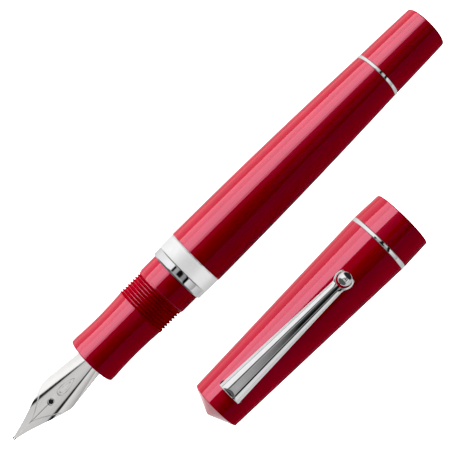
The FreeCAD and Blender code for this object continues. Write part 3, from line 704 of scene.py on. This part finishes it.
def make_world():
    """The room that shines in polished faces, as bands of grey around the pen's axis. Each is an angle in
    degrees from overhead, positive towards +Y, and a level. The bands overhead change along X, and both
    ends of the room are dark. The camera sees plain white."""
    left = [(-180, 0.08), (-120, 0.12), (-88, 0.25), (-60, 0.6), (-44, 0.76)]
    right = [(46, 0.97), (52, 1.0), (80, 0.92), (110, 0.86), (150, 0.7), (180, 0.6)]
    above = [(-41, 0.78), (-38, 0.01), (-30, 0.01), (-27, 0.26), (-17, 0.3), (-15, 0.26), (-11, 0.015),
             (5, 0.015), (8, 0.36), (19, 0.42), (22, 0.015), (28, 0.02), (31, 0.92)]
    grey = [(-41, 0.78), (-38, 0.02), (-31, 0.02), (-28, 0.34), (0, 0.42), (19, 0.36), (22, 0.02),
            (28, 0.02), (31, 0.92)]
    card = [(-42, 0.02), (-35, 0.02), (-31, 0.55), (0, 0.64), (29, 0.6), (33, 0.02), (40, 0.02),
            (43, 0.98)]
    rear = [(-38, 0.8), (-35, 0.01), (-27, 0.01), (-24, 0.6), (-9, 0.5), (-6, 0.02), (2, 0.02), (6, 0.5),
            (24, 0.8), (31, 0.95)]
    world = bpy.data.worlds.new("studio")
    bpy.context.scene.world = world
    world.cycles_visibility.diffuse = False
    world.use_nodes = True
    tree = world.node_tree
    tree.nodes.clear()
    place = tree.nodes.new("ShaderNodeTexCoord")
    split = tree.nodes.new("ShaderNodeSeparateXYZ")
    tree.links.new(place.outputs["Generated"], split.inputs["Vector"])
    angle = tree.nodes.new("ShaderNodeMath")
    angle.operation = "ARCTAN2"
    tree.links.new(split.outputs["Y"], angle.inputs[0])
    tree.links.new(split.outputs["Z"], angle.inputs[1])
    share = tree.nodes.new("ShaderNodeMapRange")
    share.inputs["From Min"].default_value = -math.pi
    share.inputs["From Max"].default_value = math.pi
    tree.links.new(angle.outputs["Value"], share.inputs["Value"])
    looks = []
    for middle in (above, grey, card, rear):
        bands = left + middle + right
        ramp = tree.nodes.new("ShaderNodeValToRGB")
        tree.links.new(share.outputs["Result"], ramp.inputs["Fac"])
        stops = ramp.color_ramp.elements
        stops[0].position, stops[1].position = 0, 1
        for degrees, level in bands[1:-1]:
            stops.new((degrees + 180) / 360)
        for stop, (degrees, level) in zip(stops, bands):
            stop.color = (level, level, level, 1)
        looks.append(ramp.outputs["Color"])
    # What comes next, and the two places along X between which it takes over.
    look = looks[0]
    changes = ((looks[1], -0.13, -0.2), (looks[2], -0.26, -0.3), ((0.1, 0.1, 0.1, 1), -0.5, -0.62),
               (looks[3], 0.07, 0.1), ((0.03, 0.03, 0.03, 1), 0.45, 0.6))
    for following, start, stop in changes:
        along = tree.nodes.new("ShaderNodeMapRange")
        along.inputs["From Min"].default_value = start
        along.inputs["From Max"].default_value = stop
        tree.links.new(split.outputs["X"], along.inputs["Value"])
        change = tree.nodes.new("ShaderNodeMix")
        change.data_type = "RGBA"
        tree.links.new(along.outputs["Result"], change.inputs[0])
        tree.links.new(look, change.inputs[6])
        if isinstance(following, tuple):
            change.inputs[7].default_value = following
        else:
            tree.links.new(following, change.inputs[7])
        look = change.outputs[2]
    light = tree.nodes.new("ShaderNodeBackground")
    tree.links.new(look, light.inputs["Color"])
    plain = tree.nodes.new("ShaderNodeBackground")
    plain.inputs["Color"].default_value = (1, 1, 1, 1)
    rays = tree.nodes.new("ShaderNodeLightPath")
    blend = tree.nodes.new("ShaderNodeMixShader")
    tree.links.new(rays.outputs["Is Camera Ray"], blend.inputs["Fac"])
    tree.links.new(light.outputs["Background"], blend.inputs[1])
    tree.links.new(plain.outputs["Background"], blend.inputs[2])
    output = tree.nodes.new("ShaderNodeOutputWorld")
    tree.links.new(blend.outputs["Shader"], output.inputs["Surface"])


def make_panel(name, start, stop, radiance, about="X"):
    """A long soft panel. It spans a range of angles from overhead, towards +Y, or towards -X if they are
    about Y."""
    distance, length = 0.8, 1.3
    middle = math.radians((start + stop) / 2)
    light = bpy.data.lights.new(name, "AREA")
    light.shape = "RECTANGLE"
    light.size = length
    light.size_y = 2 * distance * math.tan(math.radians(stop - start) / 2)
    light.energy = radiance * math.pi * light.size * light.size_y
    panel = bpy.data.objects.new(name, light)
    bpy.context.scene.collection.objects.link(panel)
    place = Matrix.Translation((MIDDLE_X * MM, 0, distance))
    panel.matrix_world = Matrix.Rotation(-middle, 4, about) @ place
    if about == "Y":
        panel.matrix_world = panel.matrix_world @ Matrix.Rotation(math.pi / 2, 4, "Z")
    return panel


def group(name, pieces):
    """A named set of pieces, for a light that is meant for them alone."""
    pieces_lit = bpy.data.collections.new(name)
    for piece in pieces:
        pieces_lit.objects.link(piece)
    return pieces_lit


def make_lights():
    """Pen and cap are each lit as if alone on the table. Fill and top light are for both. The resin has
    soft boxes of its own for its gloss, and a low panel beyond the nib. All metal and plastic have two
    low panels on the -Y side, and the satin band has one of its own."""
    pieces = [piece for piece in bpy.context.scene.objects if piece.type == "MESH"]
    with_cap = [piece for piece in pieces if piece.name.startswith(("cap", "clip", "roller", "inner"))]
    resin_pieces = [piece for piece in pieces if RESIN.name in piece.data.materials]
    for piece in pieces:
        piece.visible_glossy = False
    for name, lit in (("cap_key", with_cap), ("pen_key", [one for one in pieces if one not in with_cap])):
        key = make_panel(name, 66, 92, 39)
        key.visible_glossy = False
        key.light_linking.receiver_collection = group(name + "_lit", lit)
        key.light_linking.blocker_collection = group(name + "_shade", lit)
    for name, start, stop, radiance in (("fill", -84, -50, 6.3), ("top", -25, 15, 0.28)):
        make_panel(name, start, stop, radiance).visible_glossy = False
    gloss = group("resin_pieces", resin_pieces)
    pen_gloss = group("pen_resin", [piece for piece in resin_pieces if piece not in with_cap])
    shine = group("metal_pieces", [piece for piece in pieces if piece not in resin_pieces])
    satin = group("satin_pieces", [piece for piece in pieces if SATIN.name in piece.data.materials])
    boxes = ((25, 33, 8, pen_gloss), (33, 61, 12.5, gloss), (61, 88, 9, gloss), (88, 129, 1.0, gloss),
             (-125, -80, 0.38, shine), (-172, -125, 0.45, shine), (-100, 25, 0.36, satin))
    for index, (start, stop, radiance, lit) in enumerate(boxes):
        panel = make_panel("soft_box_%d" % index, start, stop, radiance)
        panel.visible_diffuse = False
        panel.light_linking.receiver_collection = lit
    table = make_panel("table_glow", 105, 160, 1.5, about="Y")
    table.visible_diffuse = False
    table.light_linking.receiver_collection = gloss


def make_floor():
    """A white floor that glows, throws no shadow and isn't seen in reflections."""
    size = 4.0
    mesh = bpy.data.meshes.new("floor")
    mesh.from_pydata([(-size, -size, FLOOR * MM), (size, -size, FLOOR * MM), (size, size, FLOOR * MM),
                      (-size, size, FLOOR * MM)], [], [(0, 1, 2, 3)])
    floor = bpy.data.objects.new("floor", mesh)
    bpy.context.scene.collection.objects.link(floor)
    nodes = Nodes("pale_floor")
    nodes.link(nodes.mix(nodes.noise(30), (0.82, 0.82, 0.82), (0.86, 0.86, 0.86)),
               nodes.shader.inputs["Base Color"])
    nodes.set(Roughness=0.9, Specular_IOR_Level=0.0, Emission_Color=(1, 1, 1, 1), Emission_Strength=2.0)
    dress(floor, nodes.material)
    floor.visible_glossy = False
    floor.visible_shadow = False


def make_camera():
    """Straight above the pen, turned so that the pen runs from lower left to upper right."""
    middle_y, height = 0.4, 260
    target = Vector((MIDDLE_X, middle_y, 0)) * MM
    eye = Vector((MIDDLE_X, middle_y, height)) * MM
    camera = bpy.data.objects.new("camera", bpy.data.cameras.new("camera"))
    bpy.context.scene.collection.objects.link(camera)
    camera.data.lens = 94.6
    camera.data.sensor_width = 36
    back = (eye - target).normalized()
    up = Vector((1, 1, 0)).normalized()
    right = up.cross(back).normalized()
    up = back.cross(right)
    turn = Matrix((right, up, back)).transposed()
    camera.matrix_world = Matrix.Translation(eye) @ turn.to_4x4()
    camera.data.clip_start = 0.01
    bpy.context.scene.camera = camera


make_world()
make_lights()
make_floor()
make_camera()
settings = bpy.context.scene.view_settings
settings.view_transform = "Standard"
settings.use_curve_mapping = True
settings.curve_mapping.black_level = (BLACK_LEVEL, BLACK_LEVEL, BLACK_LEVEL)
settings.curve_mapping.update()
